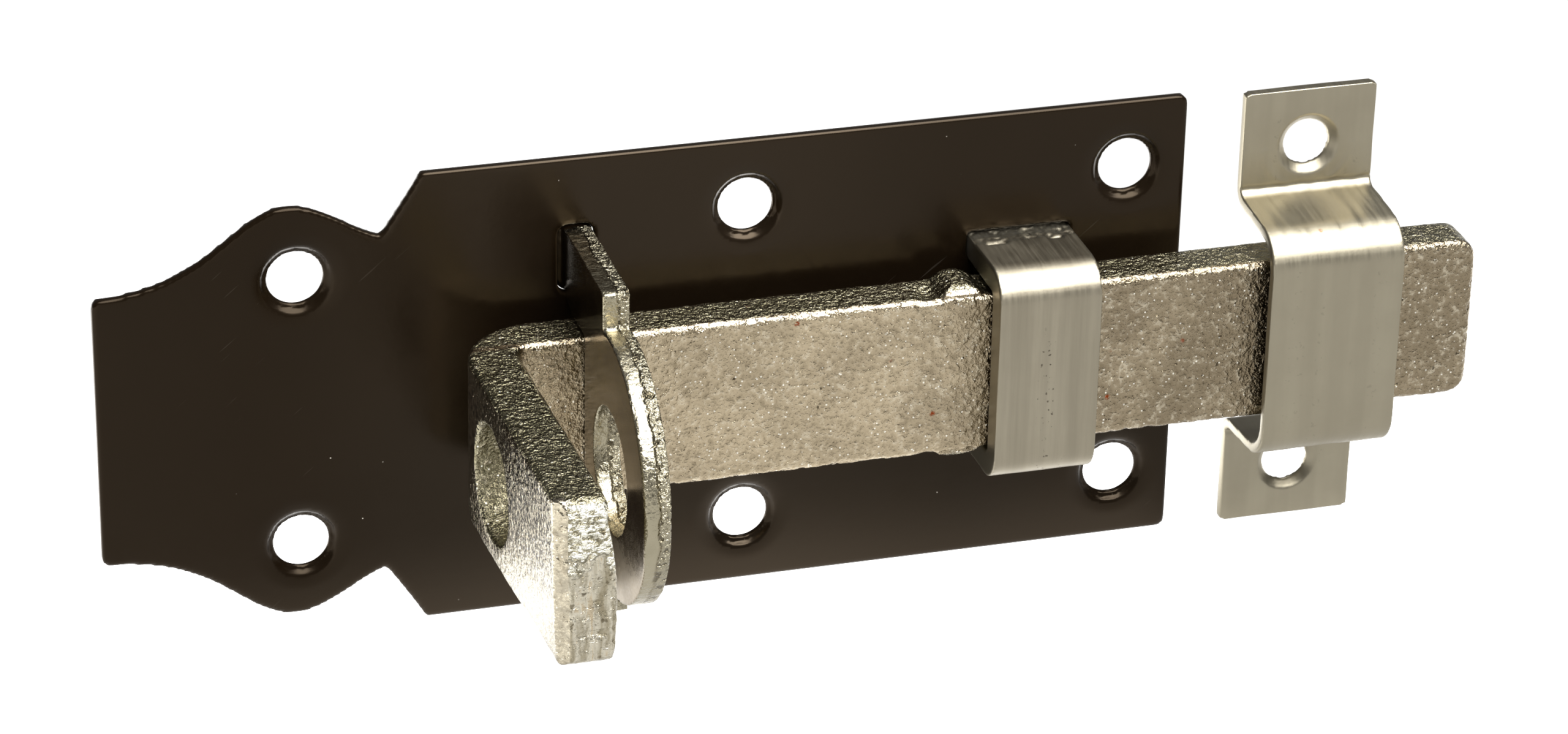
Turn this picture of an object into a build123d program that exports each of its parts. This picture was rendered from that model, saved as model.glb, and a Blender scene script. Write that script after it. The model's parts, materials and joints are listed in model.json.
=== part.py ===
from build123d import *
import os

# Padlockable slide bolt: a slotted back plate carries a padlock eye and a guide
# strap, a flat bolt with a bent tail slides through both and into a keeper.
# Frame: origin in the middle of the plate's back face, +X is the throw of the
# bolt, the front faces -Y, +Z is up. All sizes in millimetres.

# back plate
plate_length = 100.0
plate_height = 44.0
plate_thickness = 1.0
plate_corner = 0.9
shoulder_x = -20.8
left_end_half = 13.0
left_end_corner = 0.9
notch = (-24.4, 16.4)
lobe_top = (-32.8, 20.0)

# screw holes of the plate
screw_hole_r = 2.5
screw_sink_r = 3.3
sink_depth = 0.7
right_hole_x = 44.4
middle_hole_x = 8.7
hole_z = 15.5
left_hole_x = -32.0
left_hole_z = 13.0

# flat bolt, bent square to make the tail
bolt_height = 15.6
bolt_thickness = 4.6
bolt_front_y = -7.9
bolt_end_x = 76.3
bolt_end_corner = 1.8
bolt_edge = 0.45
tail_outer_x = -18.8
tail_front_y = -37.4
tail_lean = 0.9
tail_corner = 1.2
bend_inner_r = 1.2
bend_outer_r = 7.0

# pinched stop nibs on both narrow edges of the bolt
nib_x = 26.9
nib_half_length = 2.0
nib_height = 0.8
nib_inset = 0.15

# padlock holes, one line through tail and eye
shackle_y = -17.1
shackle_z = -0.5
tail_hole_r = 5.3
eye_hole_r = 5.7

# padlock eye, a punched plate standing across the bolt
eye_left_x = -8.0
eye_thickness = 2.4
eye_z = -0.5
eye_leg_half = 15.7
eye_leg_front_y = -14.5
eye_lobe_y = -16.6
eye_lobe_z = -0.3
eye_lobe_r = 12.2
eye_leg_inner = 9.9
window_half = 8.2
window_front_y = -8.2
window_corner = 0.9
throat_y = -3.4
eye_edge = 0.4

# guide strap, a flat strip bent over the bolt
strap_left_x = 29.5
strap_width = 9.6
strap_thickness = 2.4
strap_outer_half = 10.4
strap_front_y = -10.6
strap_outer_bend = 3.0
strap_inner_bend = 0.6

# the ends of eye and strap spread in their slots, flush with the plate's back
upset_depth = 0.45
eye_slot_left_gap = 0.6
eye_slot_right_gap = 0.3
eye_slot_end_gap = 0.4
eye_slot_corner = 1.0
strap_slot_side_gap = 0.1
strap_slot_end_gap = 0.2
strap_slot_corner = 0.2

# keeper, a strip pressed into a hump with two screw flanges
keeper_left_x = 55.5
keeper_width = 12.8
keeper_thickness = 1.0
keeper_z = -0.4
keeper_half = 21.8
keeper_front_y = -10.2
keeper_foot_half = 11.4
keeper_hump_half = 10.65
keeper_foot_bend = 1.3
keeper_hump_bend = 3.0
keeper_hole_half = 16.3
keeper_hole_r = 2.15
keeper_sink_r = 2.95
keeper_corner = 0.4

# worked out from the sizes above
half_length = plate_length / 2
half_height = plate_height / 2
bolt_half = bolt_height / 2
bolt_back_y = bolt_front_y + bolt_thickness
tail_inner_x = tail_outer_x + bolt_thickness
outer_bend_x = tail_outer_x + bend_outer_r
outer_bend_y = bolt_back_y - bend_outer_r
inner_bend_x = tail_inner_x + bend_inner_r
inner_bend_y = bolt_front_y - bend_inner_r
half_diagonal = 0.5**0.5
nib_r = (nib_half_length**2 + nib_height**2) / (2 * nib_height)
nib_z = bolt_half + nib_height - nib_r
lobe_reach = (eye_lobe_r**2 - (eye_leg_front_y - eye_lobe_y) ** 2) ** 0.5
eye_slot_width = eye_thickness + eye_slot_left_gap + eye_slot_right_gap
eye_slot_x = eye_left_x - eye_slot_left_gap + eye_slot_width / 2
eye_slot_top = eye_leg_half + eye_slot_end_gap
eye_slot_bottom = eye_leg_inner - eye_slot_end_gap
eye_slot_length = eye_slot_top - eye_slot_bottom
eye_slot_offset = (eye_slot_top + eye_slot_bottom) / 2
strap_slot_width = strap_width + 2 * strap_slot_side_gap
strap_slot_x = strap_left_x + strap_width / 2
strap_slot_length = strap_thickness + strap_slot_end_gap
strap_slot_offset = strap_outer_half - strap_thickness + strap_slot_length / 2
strap_inner_half = strap_outer_half - strap_thickness
strap_inner_y = strap_front_y + strap_thickness
keeper_x = keeper_left_x + keeper_width / 2
keeper_mid_y = -keeper_thickness / 2
keeper_hump_y = keeper_front_y + keeper_thickness / 2

screw_points = [
    (right_hole_x, hole_z),
    (right_hole_x, -hole_z),
    (middle_hole_x, hole_z),
    (middle_hole_x, -hole_z),
    (left_hole_x, left_hole_z),
    (left_hole_x, -left_hole_z),
]

# Back plate: a rectangle whose left end runs out in an ogee ornament.
with BuildPart() as back_plate:
    with BuildSketch(Plane.XZ):
        with BuildLine():
            for side in (1, -1):
                Polyline(
                    (half_length, 0),
                    (half_length, side * half_height),
                    (shoulder_x, side * half_height),
                )
                ThreePointArc(
                    (shoulder_x, side * half_height),
                    (-22.7, side * 18.95),
                    (notch[0], side * notch[1]),
                )
                Spline(
                    (notch[0], side * notch[1]),
                    (-27.4, side * 17.9),
                    (lobe_top[0], side * lobe_top[1]),
                    (-39.4, side * 16.3),
                    (-half_length, side * left_end_half),
                    tangents=[(-1, side * 0.3), (-1, 0)],
                )
                Line((-half_length, side * left_end_half), (-half_length, 0))
        make_face()
    extrude(amount=plate_thickness)
    upright = back_plate.edges().filter_by(Axis.Y)
    fillet(upright.group_by(Axis.X)[-1], radius=plate_corner)
    upright = back_plate.edges().filter_by(Axis.Y)
    fillet(upright.group_by(Axis.X)[0], radius=left_end_corner)
    # screw holes, countersunk from the front
    with BuildSketch(Plane.XZ):
        with Locations(*screw_points):
            Circle(screw_hole_r)
    extrude(amount=plate_thickness, mode=Mode.SUBTRACT)
    with Locations(*[(x, -plate_thickness + sink_depth / 2, z) for x, z in screw_points]):
        Cone(
            bottom_radius=screw_sink_r,
            top_radius=screw_hole_r,
            height=sink_depth,
            rotation=(-90, 0, 0),
            mode=Mode.SUBTRACT,
        )
    # slots for the legs of the eye and of the strap
    with BuildSketch(Plane.XZ):
        for side in (1, -1):
            with Locations((eye_slot_x, eye_z + side * eye_slot_offset)):
                RectangleRounded(eye_slot_width, eye_slot_length, eye_slot_corner)
            with Locations((strap_slot_x, side * strap_slot_offset)):
                RectangleRounded(strap_slot_width, strap_slot_length, strap_slot_corner)
    extrude(amount=plate_thickness, mode=Mode.SUBTRACT)

# Bolt: one flat bar, its left end bent towards the front as a tail.
with BuildPart() as bolt:
    with BuildSketch(Plane.XY.offset(-bolt_half)):
        with BuildLine():
            Line((bolt_end_x, bolt_back_y), (outer_bend_x, bolt_back_y))
            ThreePointArc(
                (outer_bend_x, bolt_back_y),
                (
                    outer_bend_x - bend_outer_r * half_diagonal,
                    outer_bend_y + bend_outer_r * half_diagonal,
                ),
                (tail_outer_x, outer_bend_y),
            )
            Polyline(
                (tail_outer_x, outer_bend_y),
                (tail_outer_x + tail_lean, tail_front_y),
                (tail_inner_x + tail_lean, tail_front_y),
                (tail_inner_x, inner_bend_y),
            )
            ThreePointArc(
                (tail_inner_x, inner_bend_y),
                (
                    inner_bend_x - bend_inner_r * half_diagonal,
                    inner_bend_y + bend_inner_r * half_diagonal,
                ),
                (inner_bend_x, bolt_front_y),
            )
            Polyline(
                (inner_bend_x, bolt_front_y),
                (bolt_end_x, bolt_front_y),
                (bolt_end_x, bolt_back_y),
            )
        make_face()
    extrude(amount=bolt_height)
    fillet(bolt.edges().filter_by(Axis.Y).group_by(Axis.X)[-1], radius=bolt_end_corner)
    fillet(bolt.edges().filter_by(Axis.X).group_by(Axis.Y)[0], radius=tail_corner)
    # rolled edges of the bar, all along its top and bottom
    rims = bolt.faces().filter_by(Axis.Z).edges()
    fillet(rims.filter_by(lambda e: e.length > 2 * tail_corner), radius=bolt_edge)
    # hole for the shackle
    with BuildSketch(Plane.YZ.offset(tail_outer_x)):
        with Locations((shackle_y, shackle_z)):
            Circle(tail_hole_r)
    extrude(amount=bolt_thickness + tail_lean, mode=Mode.SUBTRACT)
    # stop nibs
    with BuildSketch(Plane.XZ.offset(-bolt_back_y + nib_inset)):
        with Locations((nib_x, nib_z), (nib_x, -nib_z)):
            Circle(nib_r)
    extrude(amount=bolt_thickness - 2 * nib_inset)

# Padlock eye: legs above and below the bolt, a round lobe in front of it.
with BuildPart() as padlock_eye:
    with BuildSketch(Plane.YZ.offset(eye_left_x)):
        with BuildLine():
            for side in (1, -1):
                Polyline(
                    (0, eye_z + side * eye_leg_inner),
                    (0, eye_z + side * eye_leg_half),
                    (eye_leg_front_y, eye_z + side * eye_leg_half),
                    (eye_leg_front_y, eye_lobe_z + side * lobe_reach),
                )
                Polyline(
                    (throat_y, side * window_half),
                    (window_front_y, side * window_half),
                    (window_front_y, 0),
                )
                Line(
                    (0, eye_z + side * eye_leg_inner),
                    (-plate_thickness, eye_z + side * eye_leg_inner),
                )
                Spline(
                    (-plate_thickness, eye_z + side * eye_leg_inner),
                    (throat_y, side * window_half),
                    tangents=[(-1, -side * 0.5), (-1, 0)],
                )
            ThreePointArc(
                (eye_leg_front_y, eye_lobe_z + lobe_reach),
                (eye_lobe_y - eye_lobe_r, eye_lobe_z),
                (eye_leg_front_y, eye_lobe_z - lobe_reach),
            )
        make_face()
        with Locations((shackle_y, shackle_z)):
            Circle(eye_hole_r, mode=Mode.SUBTRACT)
    extrude(amount=eye_thickness)
    across = padlock_eye.edges().filter_by(Axis.X)
    fillet(
        across.filter_by_position(Axis.Y, window_front_y - 0.01, window_front_y + 0.01),
        radius=window_corner,
    )
    across = padlock_eye.edges().filter_by(Axis.X)
    leg_tips = across.filter_by_position(
        Axis.Y, eye_leg_front_y - 0.01, eye_leg_front_y + 0.01
    )
    fillet(
        leg_tips.filter_by(lambda e: abs(e.center().Z - eye_z) > eye_leg_half - 0.01),
        radius=eye_edge,
    )
    # ends spread to fill the slots
    with BuildSketch(Plane.XZ):
        for side in (1, -1):
            with Locations((eye_slot_x, eye_z + side * eye_slot_offset)):
                RectangleRounded(eye_slot_width, eye_slot_length, eye_slot_corner)
    extrude(amount=upset_depth)

# Guide strap: bent square over the bolt, both ends through the plate.
with BuildPart() as guide_strap:
    with BuildSketch(Plane.YZ.offset(strap_left_x)):
        with BuildLine():
            Polyline(
                (0, strap_outer_half),
                (strap_front_y, strap_outer_half),
                (strap_front_y, -strap_outer_half),
                (0, -strap_outer_half),
                (0, -strap_inner_half),
                (strap_inner_y, -strap_inner_half),
                (strap_inner_y, strap_inner_half),
                (0, strap_inner_half),
                close=True,
            )
        make_face()
    extrude(amount=strap_width)
    across = guide_strap.edges().filter_by(Axis.X)
    fillet(across.group_by(Axis.Y)[0], radius=strap_outer_bend)
    across = guide_strap.edges().filter_by(Axis.X)
    fillet(
        across.filter_by_position(Axis.Y, strap_inner_y - 0.01, strap_inner_y + 0.01),
        radius=strap_inner_bend,
    )
    # ends spread to fill the slots
    with BuildSketch(Plane.XZ):
        for side in (1, -1):
            with Locations((strap_slot_x, side * strap_slot_offset)):
                RectangleRounded(strap_slot_width, strap_slot_length, strap_slot_corner)
    extrude(amount=upset_depth)

# Keeper: flange, hump over the bolt's end, flange.
with BuildPart() as keeper:
    with BuildSketch(Plane.YZ.offset(keeper_left_x)):
        with BuildLine() as keeper_path:
            Polyline(
                (keeper_mid_y, keeper_z + keeper_half),
                (keeper_mid_y, keeper_z + keeper_foot_half),
                (keeper_hump_y, keeper_z + keeper_hump_half),
                (keeper_hump_y, keeper_z - keeper_hump_half),
                (keeper_mid_y, keeper_z - keeper_foot_half),
                (keeper_mid_y, keeper_z - keeper_half),
            )
            # in this sketch X runs along the frame's Y and Y along its Z
            crown = keeper_path.vertices().group_by(Axis.X)[0]
            fillet(crown, radius=keeper_hump_bend)
            feet = keeper_path.vertices().filter_by(
                lambda v: abs(abs(v.Y - keeper_z) - keeper_foot_half) < 0.01
            )
            fillet(feet, radius=keeper_foot_bend)
        trace(line_width=keeper_thickness)
    extrude(amount=keeper_width)
    upright = keeper.edges().filter_by(Axis.Y)
    fillet(
        upright.group_by(Axis.Z)[0] + upright.group_by(Axis.Z)[-1],
        radius=keeper_corner,
    )
    # screw holes, countersunk from the front
    with BuildSketch(Plane.XZ):
        with Locations(
            (keeper_x, keeper_z + keeper_hole_half),
            (keeper_x, keeper_z - keeper_hole_half),
        ):
            Circle(keeper_hole_r)
    extrude(amount=keeper_thickness, mode=Mode.SUBTRACT)
    with Locations(
        (keeper_x, -keeper_thickness + sink_depth / 2, keeper_z + keeper_hole_half),
        (keeper_x, -keeper_thickness + sink_depth / 2, keeper_z - keeper_hole_half),
    ):
        Cone(
            bottom_radius=keeper_sink_r,
            top_radius=keeper_hole_r,
            height=sink_depth,
            rotation=(-90, 0, 0),
            mode=Mode.SUBTRACT,
        )

back_plate.part.label = "back_plate"
bolt.part.label = "bolt"
padlock_eye.part.label = "padlock_eye"
guide_strap.part.label = "guide_strap"
keeper.part.label = "keeper"

os.makedirs("parts", exist_ok=True)
export_step(back_plate.part, "parts/back_plate.step")
export_step(bolt.part, "parts/bolt.step")
export_step(padlock_eye.part, "parts/padlock_eye.step")
export_step(guide_strap.part, "parts/guide_strap.step")
export_step(keeper.part, "parts/keeper.step")
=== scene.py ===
import json
import math

import bpy
import numpy as np
from mathutils import Matrix, Vector, noise


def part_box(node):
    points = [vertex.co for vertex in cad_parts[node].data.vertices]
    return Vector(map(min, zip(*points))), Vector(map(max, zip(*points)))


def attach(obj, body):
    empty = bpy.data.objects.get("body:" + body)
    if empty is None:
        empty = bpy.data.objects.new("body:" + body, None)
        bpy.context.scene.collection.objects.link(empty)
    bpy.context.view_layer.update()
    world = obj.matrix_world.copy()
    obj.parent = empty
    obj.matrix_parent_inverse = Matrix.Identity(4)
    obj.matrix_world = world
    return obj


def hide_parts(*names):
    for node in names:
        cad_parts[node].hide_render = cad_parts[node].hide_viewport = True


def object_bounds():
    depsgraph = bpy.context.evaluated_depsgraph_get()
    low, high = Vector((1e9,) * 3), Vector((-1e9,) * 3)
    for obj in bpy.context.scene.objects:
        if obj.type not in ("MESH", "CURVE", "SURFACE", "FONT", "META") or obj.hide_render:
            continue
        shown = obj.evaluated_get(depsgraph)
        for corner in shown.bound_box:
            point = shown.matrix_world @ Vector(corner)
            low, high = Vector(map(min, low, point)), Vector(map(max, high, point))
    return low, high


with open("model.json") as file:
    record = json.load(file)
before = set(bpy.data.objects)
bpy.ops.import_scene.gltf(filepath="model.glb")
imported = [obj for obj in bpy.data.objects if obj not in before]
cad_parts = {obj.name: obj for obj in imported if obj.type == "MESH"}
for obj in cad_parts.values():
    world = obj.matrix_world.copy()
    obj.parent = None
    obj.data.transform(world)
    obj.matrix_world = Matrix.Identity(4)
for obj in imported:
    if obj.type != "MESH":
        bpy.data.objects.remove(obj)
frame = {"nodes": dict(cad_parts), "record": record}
cad_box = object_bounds()

MM = 0.001

# Places on the latch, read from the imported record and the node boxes.
mounts = {m["name"]: m for m in frame["record"]["mounts"]}
plate_low, plate_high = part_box("back_plate")
bolt_low, bolt_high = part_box("bolt")
eye_low, eye_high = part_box("padlock_eye")
strap_low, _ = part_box("guide_strap")

# The flat bar's front, back and top, away from its nibs and its bend.
BAR_FRONT, BAR_BACK, BAR_TOP = -7.9 * MM, -3.3 * MM, 7.8 * MM


def pattern_points(name):
    """The X and Z of each hole of a bolt pattern mount."""
    mount = mounts[name]
    across = mount["dims"].get("spacing_x_mm", 0) * MM / 2
    up = mount["dims"].get("spacing_y_mm", 0) * MM / 2
    x, _, z = mount["pos_m"]
    return sorted({(x + i * across, z + j * up) for i in (-1, 1) for j in (-1, 1)})


screw_points = pattern_points("plate_screws_right") + pattern_points("plate_screws_left")
keeper_points = pattern_points("keeper_screws")


# ---------------------------------------------------------------- materials


class Nodes:
    """A material's node tree, built by short calls."""

    def __init__(self, name):
        self.material = bpy.data.materials.new(name)
        self.material.use_nodes = True
        self.tree = self.material.node_tree
        self.shader = self.tree.nodes["Principled BSDF"]
        self.place = self.add("ShaderNodeTexCoord").outputs["Object"]
        self.split = None

    def add(self, kind, **settings):
        node = self.tree.nodes.new(kind)
        for key, value in settings.items():
            setattr(node, key, value)
        return node

    def link(self, source, target):
        self.tree.links.new(source, target)

    def put(self, value, socket):
        if isinstance(value, bpy.types.NodeSocket):
            self.link(value, socket)
        else:
            socket.default_value = value

    def stretch(self, scale):
        """The object's own coordinates, scaled along each axis."""
        mapping = self.add("ShaderNodeMapping")
        self.link(self.place, mapping.inputs["Vector"])
        mapping.inputs["Scale"].default_value = scale
        return mapping.outputs["Vector"]

    def slanted(self, angle, length):
        """The object's own coordinates, drawn out along a slanting line."""
        mapping = self.add("ShaderNodeMapping", vector_type="TEXTURE")
        self.link(self.place, mapping.inputs["Vector"])
        mapping.inputs["Rotation"].default_value = (0, math.radians(angle), 0)
        mapping.inputs["Scale"].default_value = (1, 1, length)
        return mapping.outputs["Vector"]

    def axis(self, name):
        """One of the object's own coordinates, in metres."""
        if self.split is None:
            self.split = self.add("ShaderNodeSeparateXYZ")
            self.link(self.place, self.split.inputs["Vector"])
        return self.split.outputs[name]

    def noise(self, size, detail=3.0, rough=0.55, place=None, twist=0.0):
        """Noise with features about as long as size, in metres."""
        node = self.add("ShaderNodeTexNoise")
        self.link(place or self.place, node.inputs["Vector"])
        node.inputs["Scale"].default_value = 1 / size
        node.inputs["Detail"].default_value = detail
        node.inputs["Roughness"].default_value = rough
        node.inputs["Distortion"].default_value = twist
        return node.outputs["Fac"]

    def cells(self, size):
        """Distance to the nearest point of a scatter of points about size apart."""
        node = self.add("ShaderNodeTexVoronoi", feature="F1")
        self.link(self.place, node.inputs["Vector"])
        node.inputs["Scale"].default_value = 1 / size
        return node.outputs["Distance"]

    def ramp(self, value, low, high, start=0.0, end=1.0):
        """Maps low..high of value to start..end, smoothly and clamped."""
        node = self.add("ShaderNodeMapRange", interpolation_type="SMOOTHSTEP")
        self.link(value, node.inputs["Value"])
        node.inputs["From Min"].default_value = low
        node.inputs["From Max"].default_value = high
        node.inputs["To Min"].default_value = start
        node.inputs["To Max"].default_value = end
        return node.outputs["Result"]

    def math(self, operation, a, b):
        node = self.add("ShaderNodeMath", operation=operation)
        self.put(a, node.inputs[0])
        self.put(b, node.inputs[1])
        return node.outputs[0]

    def times(self, a, b):
        return self.math("MULTIPLY", a, b)

    def mix(self, share, a, b):
        """Colour a where share is 0, colour b where it is 1."""
        node = self.add("ShaderNodeMix", data_type="RGBA")
        self.put(share, node.inputs["Factor"])
        self.put(a if isinstance(a, bpy.types.NodeSocket) else (*a, 1), node.inputs["A"])
        self.put(b if isinstance(b, bpy.types.NodeSocket) else (*b, 1), node.inputs["B"])
        return node.outputs["Result"]

    def finish(self, colour, roughness, height, depth, metallic):
        """Sets the shader: height is 0 to 1, and depth its size in metres."""
        self.link(colour, self.shader.inputs["Base Color"])
        self.link(roughness, self.shader.inputs["Roughness"])
        self.shader.inputs["Metallic"].default_value = metallic
        bump = self.add("ShaderNodeBump")
        bump.inputs["Distance"].default_value = depth
        self.link(height, bump.inputs["Height"])
        self.link(bump.outputs["Normal"], self.shader.inputs["Normal"])
        return self.material


def plate_paint(name):
    """Satin dark brown paint with a faint orange peel, dust and hair scratches."""
    m = Nodes(name)
    cloud = m.noise(14 * MM, 2)
    dust = m.ramp(m.cells(2.6 * MM), 0.0, 0.035, 1.0, 0.0)
    rare = m.ramp(m.noise(5 * MM, 1), 0.52, 0.60)
    scratch_lines = m.noise(0.22 * MM, 1, place=m.slanted(50, 30))
    scratches = m.times(m.ramp(scratch_lines, 0.75, 0.80), m.ramp(cloud, 0.52, 0.62))
    colour = m.mix(cloud, (0.0036, 0.0021, 0.0010), (0.0052, 0.0031, 0.0015))
    colour = m.mix(m.times(scratches, 0.22), colour, (0.06, 0.05, 0.04))
    colour = m.mix(m.times(dust, rare), colour, (0.75, 0.70, 0.62))
    roughness = m.ramp(m.noise(3 * MM, 3), 0.3, 0.7, 0.20, 0.27)
    peel = m.noise(0.9 * MM, 2)
    m.shader.inputs["Specular Tint"].default_value = (1.0, 0.78, 0.55, 1)
    # painted sheen: the coat is made to reflect most in the middle, behind the bolt, and less
    # towards both ends, where less light falls
    left_sheen = m.ramp(m.axis("X"), -38 * MM, -12 * MM, 0.14, 0.28)
    right_sheen = m.ramp(m.axis("X"), 8 * MM, 30 * MM, 1.0, 0.72)
    sheen = m.times(left_sheen, right_sheen)
    m.link(sheen, m.shader.inputs["Specular IOR Level"])
    return m.finish(colour, roughness, peel, 0.006 * MM, 0.0)


def grainy_zinc(name, light, dark, rust, size, depth, upper_shade=0.0):
    """Zinc on hot rolled steel: grains, painted glints, pits and a few rust specks.

    light and dark are its two tones, rust is the share of rust in a speck, size and depth
    belong to the grain, and the last is the share of dark grains painted as shade on the upper
    part.
    """
    m = Nodes(name)
    # painted shade: the bolt's colour is made darker towards its working end, in the keeper's
    # shade, on top of random blotches
    shade_towards_keeper = m.ramp(m.axis("X"), 16 * MM, 50 * MM, 0.0, 0.9)
    blotch_and_shade = m.math("ADD", m.ramp(m.noise(6 * MM, 3), 0.3, 0.7, -0.15, 0.35), shade_towards_keeper)
    grain = m.noise(size, 3, 0.6, twist=0.15)
    fine = m.noise(0.28 * MM, 2, 0.6)
    pits = m.ramp(m.noise(0.55 * MM, 2, 0.5), 0.72, 0.77)
    # painted glints: bright flecks in the colour where a facet would catch the light
    painted_glints = m.ramp(m.cells(0.50 * MM), 0.10, 0.22, 1.0, 0.0)
    painted_glints = m.times(painted_glints, m.ramp(m.noise(1.1 * MM, 2), 0.46, 0.56))
    colour = m.mix(blotch_and_shade, light, dark)
    colour = m.mix(m.ramp(grain, 0.30, 0.50, 0.42, 0.0), colour, (0.13, 0.10, 0.06))
    colour = m.mix(m.ramp(grain, 0.52, 0.72, 0.0, 0.45), colour, (0.66, 0.60, 0.47))
    colour = m.mix(m.times(painted_glints, 0.8), colour, (0.95, 0.93, 0.84))
    colour = m.mix(m.times(pits, 0.85), colour, (0.055, 0.042, 0.024))
    specks = m.ramp(m.cells(3.6 * MM), 0.040, 0.100, rust, 0.0)
    specks = m.times(specks, m.ramp(m.noise(9 * MM, 1), 0.44, 0.50))
    specks = m.times(specks, m.ramp(fine, 0.42, 0.52))
    colour = m.mix(specks, colour, (0.20, 0.040, 0.010))
    if upper_shade:
        # painted shade: dark grains that darken the upper part and thin out downwards
        grains = m.ramp(m.noise(0.42 * MM, 2), 0.41, 0.51, 1.0, 0.0)
        grains = m.times(grains, m.ramp(m.axis("Z"), -6 * MM, 0.5 * MM, 0.0, upper_shade))
        colour = m.mix(grains, colour, (0.055, 0.045, 0.03))
    roughness = m.ramp(fine, 0.3, 0.7, 0.12, 0.24)
    height = m.math("ADD", m.times(grain, 0.75), m.times(fine, 0.22))
    height = m.math("SUBTRACT", height, m.times(pits, 0.2))
    return m.finish(colour, roughness, height, depth, 1.0)


def sheared_zinc(name, axis, cut_start, cut_end):
    """A sheared edge: smooth up to cut_start along axis, torn from cut_end on."""
    m = Nodes(name)
    wobble = m.ramp(m.noise(1.6 * MM, 2), 0.3, 0.7, -0.14 * MM, 0.14 * MM)
    along = m.math("ADD", m.axis(axis), wobble)
    torn = m.ramp(along, cut_start, cut_end)
    seam = m.times(torn, m.math("SUBTRACT", 1.0, torn))
    grain = m.noise(0.60 * MM, 3, 0.6, twist=0.4)
    fine = m.noise(0.22 * MM, 2, 0.6)
    pits = m.times(m.ramp(m.noise(0.80 * MM, 2), 0.56, 0.64), torn)
    colour = m.mix(m.noise(3 * MM, 2), (0.26, 0.235, 0.165), (0.38, 0.345, 0.255))
    colour = m.mix(m.times(seam, 1.3), colour, (0.10, 0.075, 0.04))
    colour = m.mix(m.times(pits, 0.75), colour, (0.07, 0.055, 0.03))
    roughness = m.ramp(fine, 0.3, 0.7, 0.15, 0.28)
    bumps = m.math("ADD", m.times(grain, 0.8), m.times(fine, 0.2))
    height = m.times(bumps, m.ramp(torn, 0.0, 1.0, 0.25, 1.0))
    height = m.math("SUBTRACT", height, m.times(torn, 0.15))
    height = m.math("SUBTRACT", height, m.times(pits, 0.3))
    return m.finish(colour, roughness, height, 0.60 * MM, 1.0)


def crumpled_zinc():
    """The sheared front end of the tail: torn at the top, with painted highlights and shade in
    bands on its lumps, and streaked below.
    """
    m = Nodes("tail_end")
    wobble = m.ramp(m.noise(1.8 * MM, 2), 0.3, 0.7, -1.3 * MM, 1.3 * MM)
    torn = m.ramp(m.math("ADD", m.axis("Z"), wobble), 1.6 * MM, 2.8 * MM)
    lumps = m.noise(0.75 * MM, 3, 0.6, place=m.stretch((1, 1, 1.9)), twist=0.8)
    streaks = m.noise(0.75 * MM, 3, place=m.stretch((1, 1, 0.16)), twist=0.5)
    fine = m.noise(0.25 * MM, 2, 0.6)
    pits = m.ramp(m.noise(0.8 * MM, 2), 0.66, 0.72)
    low = m.mix(m.ramp(streaks, 0.30, 0.64), (0.27, 0.235, 0.16), (0.58, 0.545, 0.45))
    low = m.mix(m.ramp(streaks, 0.55, 0.62, 0.0, 0.55), low, (0.36, 0.26, 0.13))
    # painted highlights and shade: the torn lumps are coloured light and dark in flat bands
    high = m.mix(m.ramp(lumps, 0.40, 0.58), (0.26, 0.235, 0.16), (0.74, 0.72, 0.62))
    colour = m.mix(torn, low, high)
    colour = m.mix(m.times(pits, 0.7), colour, (0.09, 0.07, 0.04))
    roughness = m.ramp(fine, 0.3, 0.7, 0.18, 0.32)
    height = m.times(lumps, m.ramp(torn, 0.0, 1.0, 0.25, 1.0))
    height = m.math("ADD", height, m.times(streaks, 0.45))
    height = m.math("ADD", height, m.times(fine, 0.10))
    return m.finish(colour, roughness, height, 0.5 * MM, 1.0)


def drawn_zinc(
    name, light, dark, along, line_share, line_depth, satin, specks, stains=0.0, low_satin=0.0
):
    """Satin zinc on drawn strip: fine lines along the strip, specks and stains.

    light and dark are its two tones, along stretches the lines, line_share and line_depth are
    their tone and height, satin is the roughness, low_satin is added to it at the lower end,
    and specks and stains are shares of their tones.
    """
    m = Nodes(name)
    lines = m.noise(0.30 * MM, 3, 0.6, place=m.stretch(along))
    bands = m.noise(2.2 * MM, 2, place=m.stretch(along))
    cloud = m.noise(5 * MM, 4)
    speck = m.ramp(m.noise(0.42 * MM, 2), 0.64, 0.69)
    columns = m.ramp(m.noise(1.1 * MM, 0, place=m.stretch(along)), 0.62, 0.68)
    stain = m.times(m.ramp(m.cells(5.5 * MM), 0.02, 0.055, 1.0, 0.0), stains)
    stain = m.times(stain, m.ramp(m.noise(0.25 * MM, 2), 0.40, 0.55))
    colour = m.mix(m.ramp(bands, 0.35, 0.65), dark, light)
    colour = m.mix(m.ramp(lines, 0.25, 0.75, line_share, 0.0), colour, (0.16, 0.14, 0.11))
    colour = m.mix(m.ramp(cloud, 0.35, 0.75, 0.0, 0.20), colour, (0.20, 0.175, 0.13))
    speck = m.times(m.times(speck, columns), specks)
    colour = m.mix(speck, colour, (0.05, 0.04, 0.03))
    colour = m.mix(stain, colour, (0.20, 0.09, 0.04))
    roughness = m.ramp(m.math("ADD", lines, cloud), 0.7, 1.3, satin, satin + 0.10)
    if low_satin:
        low_part = m.ramp(m.axis("Z"), -9 * MM, -3 * MM, low_satin, 0.0)
        roughness = m.math("ADD", roughness, low_part)
    fine = m.noise(0.22 * MM, 2)
    height = m.math("ADD", m.times(lines, 0.7), m.times(fine, 0.3))
    return m.finish(colour, roughness, height, line_depth, 1.0)


# ------------------------------------------------------------ finer meshes


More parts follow.
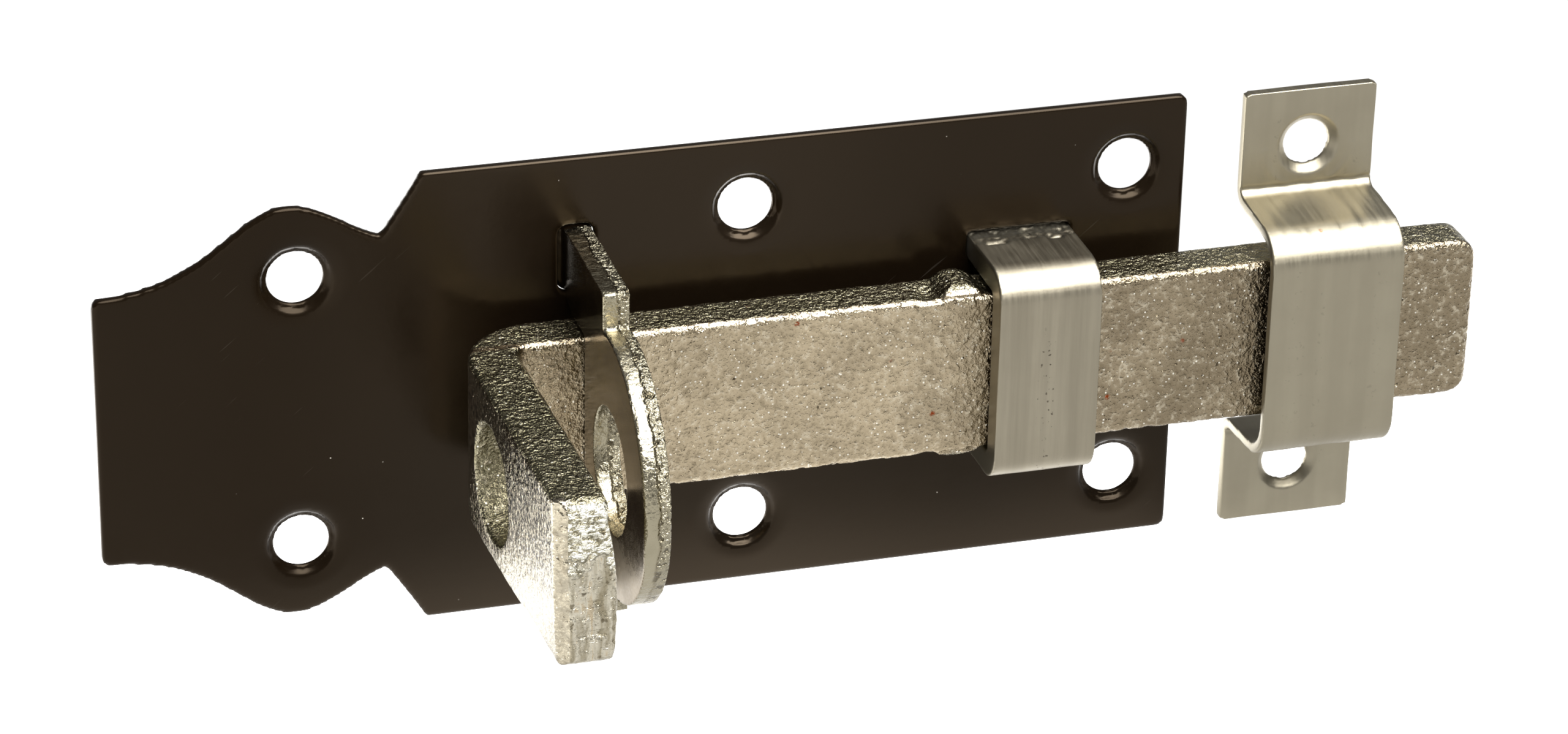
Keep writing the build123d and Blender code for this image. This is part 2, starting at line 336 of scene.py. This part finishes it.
def points_of(mesh):
    """The mesh's points as rows of X, Y and Z."""
    values = np.empty(len(mesh.vertices) * 3, np.float32)
    mesh.vertices.foreach_get("co", values)
    return values.reshape(-1, 3).astype(float)


def normals_of(mesh):
    """The normal at each of the mesh's points."""
    values = np.empty(len(mesh.vertices) * 3, np.float32)
    mesh.vertex_normals.foreach_get("vector", values)
    return values.reshape(-1, 3).astype(float)


def grain_at(points, size, octaves=2, seed=0.0):
    """Smooth noise about -1 to 1 at each point, with lumps about as long as size."""
    shift = Vector((seed, seed * 1.7, -seed))
    return np.array(
        [noise.fractal(Vector(p / size) + shift, 1.0, 2.0, octaves) for p in points]
    )


def finer(node, name, body, voxel, passes):
    """A finely meshed copy of a CAD node, with its edges softened, that stands for it.

    voxel is the size of its faces, and passes is how many times it is smoothed.
    """
    piece = bpy.data.objects.new(name, frame["nodes"][node].data.copy())
    bpy.context.scene.collection.objects.link(piece)
    piece.modifiers.new("weld", "WELD").merge_threshold = 1e-6
    remesh = piece.modifiers.new("remesh", "REMESH")
    remesh.mode = "VOXEL"
    remesh.voxel_size = voxel
    smooth = piece.modifiers.new("smooth", "SMOOTH")
    smooth.factor = 0.5
    smooth.iterations = passes
    evaluated = piece.evaluated_get(bpy.context.evaluated_depsgraph_get())
    piece.data = bpy.data.meshes.new_from_object(evaluated)
    piece.data.name = name
    piece.modifiers.clear()
    piece.data.materials.clear()
    piece.data.shade_smooth()
    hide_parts(node)
    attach(piece, body)
    return piece


def move_points(piece, shift):
    """Adds shift, an array of offsets in metres, to the piece's points, inside the CAD box."""
    mesh = piece.data
    moved = np.clip(points_of(mesh) + shift, tuple(cad_box[0]), tuple(cad_box[1]))
    mesh.vertices.foreach_set("co", moved.astype(np.float32).ravel())
    mesh.update()


def smoothstep(values, low, high):
    """0 below low, 1 above high, and smooth in between."""
    t = np.clip((values - low) / (high - low), 0, 1)
    return t * t * (3 - 2 * t)


def make_back_plate():
    piece = finer("back_plate", "back_plate_painted", "plate_assembly", 0.3 * MM, 3)
    p, n = points_of(piece.data), normals_of(piece.data)
    shift = np.zeros_like(p)
    hole_r, sink_r, sink_depth = 2.5 * MM, 3.3 * MM, 0.7 * MM
    dimple_depth, dimple_in, dimple_out = 0.16 * MM, 3.0 * MM, 4.6 * MM
    hole_top = plate_low.y + sink_depth
    front = p[:, 1] < (plate_low.y + plate_high.y) / 2
    for x, z in screw_points:
        # the press that sank the screw hole drew the sheet down softly around it
        reach = np.hypot(p[:, 0] - x, p[:, 2] - z)
        dimple = dimple_depth * (1 - smoothstep(reach, dimple_in, dimple_out))
        shift[:, 1] += np.where(front, dimple, 0)
        # and its remeshed wall goes back to true circles
        radius = hole_r + np.clip((hole_top - p[:, 1]) / sink_depth, 0, 1) * (sink_r - hole_r)
        wall = (np.hypot(n[:, 0], n[:, 2]) > 0.25) & (np.abs(reach - radius) < 0.35 * MM)
        stretch = np.where(wall, radius / np.maximum(reach, 1e-6) - 1, 0)
        shift[:, 0] += (p[:, 0] - x) * stretch
        shift[:, 2] += (p[:, 2] - z) * stretch
    move_points(piece, shift)
    piece.data.materials.append(plate_paint("plate_paint"))


def soften_edge(shift, face_a, face_b, width, where):
    """Bevels the edge between two faces.

    Each face is the points' depth below it, its axis, and the sign that moves into the piece.
    """
    (depth_a, axis_a, sign_a), (depth_b, axis_b, sign_b) = face_a, face_b
    lack = np.where(where, np.clip(width - depth_a - depth_b, 0, None), 0) / 2
    shift[:, axis_a] += sign_a * lack
    shift[:, axis_b] += sign_b * lack


def pinch_nibs(p, n, shift):
    """The tool that pinched out each stop nib left a dent on both sides and a flat corner."""
    nib_x, nib_half, dent_away, dent_depth = 26.9 * MM, 1.7 * MM, 2.9 * MM, 0.36 * MM
    for x in (nib_x - dent_away, nib_x + dent_away):
        across = (p[:, 0] - x) / (1.0 * MM)
        deep = (p[:, 1] - BAR_FRONT - 1.6 * MM) / (1.7 * MM)
        dent = np.exp(-(across**2) - deep**2) * (np.abs(n[:, 2]) > 0.4)
        shift[:, 2] -= np.sign(p[:, 2]) * dent * dent_depth
    on_nib = (np.abs(p[:, 0] - nib_x) < nib_half) & (np.abs(p[:, 2]) > BAR_TOP)
    above = np.abs(p[:, 2]) - BAR_TOP - 0.9 * (p[:, 1] - BAR_FRONT) + 0.05 * MM
    shift[:, 2] -= np.where(on_nib, np.sign(p[:, 2]) * np.clip(above, 0, 0.6 * MM), 0)


def wear_bar(p, shift, ragged):
    """Wears the bar's front edges and its working end to narrow ragged bevels."""
    in_bar = (p[:, 0] > bolt_low.x + 7 * MM) & (np.abs(p[:, 2]) < BAR_TOP + 0.1 * MM)
    in_bar &= (p[:, 1] < BAR_BACK) & (p[:, 1] > BAR_FRONT - 0.1 * MM)
    front = (p[:, 1] - BAR_FRONT, 1, 1)
    for side in (1, -1):
        soften_edge(shift, front, (BAR_TOP - side * p[:, 2], 2, -side), ragged, in_bar)
    soften_edge(shift, front, (bolt_high.x - p[:, 0], 0, -1), ragged, in_bar)


def crumple_tail(p, shift, ragged):
    """Shapes the tail's front end, and returns which points are its left ridge and its face."""
    from_front = p[:, 1] - bolt_low.y
    from_left = p[:, 0] - p[from_front < 1 * MM, 0].min()
    # the sheared end is crumpled and bulges towards the bolt's working end
    near_end = 1 - smoothstep(p[:, 1], bolt_low.y, bolt_low.y + 7 * MM)
    inner = smoothstep(p[:, 0], bolt_low.x + 2.5 * MM, bolt_low.x + 5 * MM)
    belly = 1 - np.minimum(np.abs(p[:, 2] + 2.5 * MM) / (8 * MM), 1) ** 2
    shift[:, 0] += near_end * inner * belly * 0.85 * MM
    skin = 1 - smoothstep(p[:, 1], bolt_low.y + 0.2 * MM, bolt_low.y + 1.6 * MM)
    crumple = np.abs(grain_at(p * np.array((1, 1, 1.5)), 1.5 * MM, 3, seed=5.0))
    shift[:, 1] += skin * crumple * 0.30 * MM
    # its top edge is bevelled, and its left edge to a wider ridge
    end = (from_front, 1, 1)
    soften_edge(shift, end, (BAR_TOP - p[:, 2], 2, -1), 1.4 * ragged, p[:, 2] > 0)
    ridge = (from_left < 1.2 * MM) & (from_front < 1.6 * MM)
    ridge_width = (1.10 + 0.25 * grain_at(p, 3 * MM, 1, seed=12.0)) * MM
    soften_edge(shift, end, (from_left, 0, 1), ridge_width, ridge)
    # the outer face is worn back below its middle and round along its lower edge
    outer = 1 - smoothstep(p[:, 0], bolt_low.x + 1.0 * MM, bolt_low.x + 3.5 * MM)
    forward = 1 - smoothstep(p[:, 1], bolt_low.y + 6 * MM, bolt_low.y + 18 * MM)
    lower_edge = smoothstep(-p[:, 2], 1.5 * MM, BAR_TOP)
    lower_half = 1 - smoothstep(p[:, 2], -5.5 * MM, 5.5 * MM)
    shift[:, 0] += outer * forward * (0.14 * lower_edge**2 + 0.22 * lower_half) * MM
    return ridge, (from_front < 0.5 * MM) & (from_left > 1.0 * MM)


def bolt_materials():
    """The bolt's materials: its front, its edges, and the tail's side, front end and ridge."""
    tail_light, tail_dark = (0.40, 0.36, 0.275), (0.34, 0.305, 0.225)
    return (
        grainy_zinc(
            "bolt_face",
            light=(0.425, 0.352, 0.240),
            dark=(0.215, 0.174, 0.116),
            rust=1.0,
            size=0.58 * MM,
            depth=0.30 * MM,
        ),
        grainy_zinc(
            "bolt_edge",
            light=(0.26, 0.238, 0.158),
            dark=(0.27, 0.245, 0.160),
            rust=0.3,
            size=0.50 * MM,
            depth=0.42 * MM,
        ),
        # the tail's side gets painted shade on its upper part; its ridge is the same zinc without
        # it
        grainy_zinc("tail_side", tail_light, tail_dark, 0.0, 0.60 * MM, 0.19 * MM, upper_shade=0.95),
        crumpled_zinc(),
        grainy_zinc("tail_ridge", tail_light, tail_dark, 0.0, 0.60 * MM, 0.19 * MM),
    )


def make_bolt():
    piece = finer("bolt", "bolt_bar", "bolt", 0.25 * MM, 2)
    p, n = points_of(piece.data), normals_of(piece.data)
    lumps = grain_at(p, 1.2 * MM, 3) * 0.035 * MM
    waves = grain_at(p, 6 * MM, 2, seed=3.0) * 0.05 * MM
    shift = n * (lumps + waves)[:, None]
    ragged = (0.34 + 0.30 * grain_at(p, 0.7 * MM, 2, seed=11.0)) * MM
    pinch_nibs(p, n, shift)
    wear_bar(p, shift, ragged)
    ridge, end_face = crumple_tail(p, shift, ragged)
    for material in bolt_materials():
        piece.data.materials.append(material)
    # a polygon takes the material of the part that all its corners are on
    corners = np.array([polygon.vertices[:] for polygon in piece.data.polygons])
    bar_face = (p[:, 1] < BAR_FRONT + 0.6 * MM) & (p[:, 1] > BAR_FRONT - 0.4 * MM)
    left_face = n[:, 0] < -0.8
    kind = np.where(bar_face[corners].all(1), 0, np.where(left_face[corners].all(1), 2, 1))
    kind = np.where(end_face[corners].all(1), 3, kind)
    kind = np.where(ridge[corners].all(1), 4, kind)
    piece.data.polygons.foreach_set("material_index", kind.astype(np.int32))
    move_points(piece, shift)


def make_padlock_eye():
    piece = finer("padlock_eye", "padlock_eye_plate", "plate_assembly", 0.2 * MM, 2)
    p, n = points_of(piece.data), normals_of(piece.data)
    rim = 1 - smoothstep(np.abs(n[:, 0]), 0.5, 0.95)
    shift = n * (rim * grain_at(p, 0.9 * MM, 2) * 0.035 * MM)[:, None]
    # the punch came from the left and rolled that side's lower edge over
    lobe_y, lobe_z, lobe_r = -16.6 * MM, -0.3 * MM, 12.2 * MM
    roll_width, roll_depth = 7.0 * MM, 0.50 * MM
    inside = lobe_r - np.hypot(p[:, 1] - lobe_y, p[:, 2] - lobe_z)
    rolled = np.clip(1 - np.maximum(inside, 0) / roll_width, 0, 1) ** 2
    rolled *= smoothstep(inside, -0.9 * MM, -0.2 * MM) * smoothstep(-p[:, 2], 1 * MM, 6 * MM)
    rolled *= 1 - smoothstep(p[:, 1], lobe_y + 4.5 * MM, lobe_y + 7.5 * MM)
    left = 1 - smoothstep(p[:, 0], eye_low.x, eye_low.x + 1.2 * MM)
    shift[:, 0] += rolled * left * roll_depth
    move_points(piece, shift)
    # the spread ends reach past the plate of the eye on both sides
    spread_left, spread_right = 0.6 * MM, 0.3 * MM
    plate_left, plate_right = eye_low.x + spread_left, eye_high.x - spread_right
    tear = (plate_left + plate_right) / 2
    for material in (
        drawn_zinc(
            "eye_face",
            light=(0.20, 0.155, 0.09),
            dark=(0.165, 0.125, 0.07),
            along=(1, 1, 1),
            line_share=0.1,
            line_depth=0.006 * MM,
            satin=0.14,
            specks=0.2,
            low_satin=0.15,
        ),
        sheared_zinc("eye_rim", "X", tear - 0.1 * MM, tear + 0.4 * MM),
        # painted shade: the plate's dark paint covers what shows in the slots of the spread ends,
        # where only shade falls
        plate_paint("slot_painted_shade"),
    ):
        piece.data.materials.append(material)
    # faces inside the slots take the painted shade
    slot_front, slot_back = plate_low.y + 0.2 * MM, plate_high.y - 0.3 * MM
    for polygon in piece.data.polygons:
        in_slot = slot_front < polygon.center.y < slot_back
        polygon.material_index = 2 if in_slot else int(abs(polygon.normal.x) < 0.8)


def make_guide_strap():
    piece = finer("guide_strap", "guide_strap_strip", "plate_assembly", 0.16 * MM, 2)
    p, n = points_of(piece.data), normals_of(piece.data)
    shift = n * (grain_at(p, 4 * MM, 2, seed=7.0) * 0.03 * MM)[:, None]
    # two chisel cuts across the upper leg, and the leg roughened behind them
    top = (n[:, 2] > 0.5) & (p[:, 2] > 0)
    cut_y, cut_width, cut_depth, fade = plate_low.y - 2.0 * MM, 0.26 * MM, 0.36 * MM, 0.4 * MM
    for start, end in ((0.9 * MM, 3.4 * MM), (6.9 * MM, 8.6 * MM)):
        x0, x1 = strap_low.x + start, strap_low.x + end
        along = smoothstep(p[:, 0], x0, x0 + fade) * (1 - smoothstep(p[:, 0], x1 - fade, x1))
        cut = np.exp(-(((p[:, 1] - cut_y) / cut_width) ** 2))
        shift[:, 2] -= np.where(top, cut * along * cut_depth, 0)
    behind = smoothstep(p[:, 1], cut_y, cut_y + 0.5 * MM) * top
    shift[:, 2] -= behind * (0.12 + 0.30 * np.abs(grain_at(p, 1.0 * MM, 3, seed=2.0))) * MM
    move_points(piece, shift)
    piece.data.materials.append(
        drawn_zinc(
            "strap_steel",
            light=(0.305, 0.276, 0.211),
            dark=(0.255, 0.230, 0.174),
            along=(1, 0.04, 0.04),
            line_share=0.22,
            line_depth=0.014 * MM,
            satin=0.34,
            specks=0.8,
        )
    )


def make_keeper():
    piece = finer("keeper", "keeper_strip", "keeper", 0.2 * MM, 2)
    p, n = points_of(piece.data), normals_of(piece.data)
    shift = n * (grain_at(p, 5 * MM, 2, seed=9.0) * 0.04 * MM)[:, None]
    front = n[:, 1] < -0.3
    middle_z = sum(z for _, z in keeper_points) / len(keeper_points)
    up = np.abs(p[:, 2] - middle_z)
    # the press left a crease where each flange starts and drag lines down from it
    crease = 12.35 * MM + 0.10 * MM * grain_at(p, 1.5 * MM, 2, seed=4.0)
    groove = np.exp(-(((up - crease) / (0.24 * MM)) ** 2))
    lines = grain_at(p * np.array((1, 0.08, 0.08)), 0.9 * MM, 2, seed=6.0)
    slope = smoothstep(up, 10.4 * MM, 11.4 * MM) * (1 - smoothstep(up, 12.0 * MM, 12.4 * MM))
    shift[:, 1] += np.where(front, groove * 0.13 * MM, 0)
    shift += n * (np.where(n[:, 2] * p[:, 2] > 0, slope, 0) * lines * 0.05 * MM)[:, None]
    # and a low wave around each screw hole on the side of the hump
    flange = front & (p[:, 1] > -1.6 * MM)
    for x, z in keeper_points:
        reach = np.hypot(p[:, 0] - x, p[:, 2] - z)
        wave = np.exp(-(((reach - 4.3 * MM) / (0.30 * MM)) ** 2)) * (up < abs(z - middle_z))
        shift[:, 1] -= np.where(flange, wave * 0.05 * MM, 0)
    move_points(piece, shift)
    piece.data.materials.append(
        drawn_zinc(
            "keeper_steel",
            light=(0.285, 0.259, 0.194),
            dark=(0.262, 0.237, 0.177),
            along=(1, 0.06, 0.06),
            line_share=0.08,
            line_depth=0.008 * MM,
            satin=0.35,
            specks=0.15,
            stains=0.8,
        )
    )


make_back_plate()
make_bolt()
make_padlock_eye()
make_guide_strap()
make_keeper()


# ------------------------------------------------------ floor, light, camera

PAPER_WHITE = (1, 0.99, 0.97)


def make_floor():
    """A white floor that the latch stands over, large enough for every view; it glows unevenly as
    painted light.
    """
    reach, below = 6.0, cad_box[0].z - 0.5 * MM
    corners = [(x * reach, y * reach, below) for x, y in ((-1, -1), (1, -1), (1, 1), (-1, 1))]
    mesh = bpy.data.meshes.new("floor")
    mesh.from_pydata(corners, [], [(0, 1, 2, 3)])
    floor = bpy.data.objects.new("floor", mesh)
    bpy.context.scene.collection.objects.link(floor)
    m = Nodes("floor_painted_glow")
    m.shader.inputs["Base Color"].default_value = (0.05, 0.05, 0.05, 1)
    m.shader.inputs["Specular IOR Level"].default_value = 0.0
    m.shader.inputs["Roughness"].default_value = 0.9
    m.shader.inputs["Emission Color"].default_value = (*PAPER_WHITE, 1)
    # painted light: the floor glows instead of being lit, most behind the latch and at its left,
    # and more close below it
    x, y = m.axis("X"), m.axis("Y")
    behind = m.ramp(y, -10 * MM, 22 * MM, 1.05, 2.7)
    away = m.ramp(y, 35 * MM, 70 * MM, 1.0, 0.36)
    left = m.ramp(x, -45 * MM, -15 * MM, 1.3, 1.0)
    far_left = m.ramp(x, -75 * MM, -48 * MM, 1.6, 1.0)
    close = m.times(m.ramp(y, -18 * MM, -4 * MM, 0.0, 0.9), m.ramp(x, 46 * MM, 56 * MM, 1.0, 0.0))
    strength = m.times(m.times(behind, away), m.times(left, far_left))
    strength = m.times(strength, m.math("ADD", 1.0, close))
    m.link(strength, m.shader.inputs["Emission Strength"])
    mesh.materials.append(m.material)


def make_light(name, direction, distance, size, radiance, target):
    """A square soft box of the given radiance that faces the target."""
    data = bpy.data.lights.new(name, "AREA")
    data.shape = "SQUARE"
    data.size = size
    data.energy = radiance * math.pi * size * size
    light = bpy.data.objects.new(name, data)
    bpy.context.scene.collection.objects.link(light)
    way = Vector(direction).normalized()
    turn = way.to_track_quat("Z", "Y").to_matrix().to_4x4()
    light.matrix_world = Matrix.Translation(Vector(target) + way * distance) @ turn


def make_world(strength):
    world = bpy.data.worlds.new("studio")
    world.use_nodes = True
    background = world.node_tree.nodes["Background"]
    background.inputs["Color"].default_value = (*PAPER_WHITE, 1)
    background.inputs["Strength"].default_value = strength
    bpy.context.scene.world = world


def make_camera(target, azimuth, elevation, roll, distance, lens):
    """Looks at target from azimuth and elevation, turned by roll about its own axis."""
    a, e = math.radians(azimuth), math.radians(elevation)
    back = Vector((math.sin(a) * math.cos(e), -math.cos(a) * math.cos(e), math.sin(e)))
    camera = bpy.data.objects.new("camera", bpy.data.cameras.new("camera"))
    bpy.context.scene.collection.objects.link(camera)
    turn = back.to_track_quat("Z", "Y").to_matrix().to_4x4()
    spin = Matrix.Rotation(math.radians(roll), 4, "Z")
    camera.matrix_world = Matrix.Translation(target + back * distance) @ turn @ spin
    camera.data.lens = lens
    camera.data.sensor_width = 36
    camera.data.clip_start = 0.01
    camera.data.clip_end = 50
    bpy.context.scene.camera = camera


view_target = Vector((11.2, -5.0, 1.3)) * MM
bpy.context.scene.view_settings.view_transform = "Standard"
make_floor()
make_light(
    "key", (0.26, -0.45, 0.855), distance=0.8, size=0.75, radiance=13.0, target=view_target
)
make_light("top", (0.26, 0.12, 0.96), distance=0.8, size=0.40, radiance=4.0, target=view_target)
make_world(strength=0.22)
make_camera(view_target, azimuth=-16.82, elevation=26.72, roll=1.23, distance=0.4746, lens=122.0)
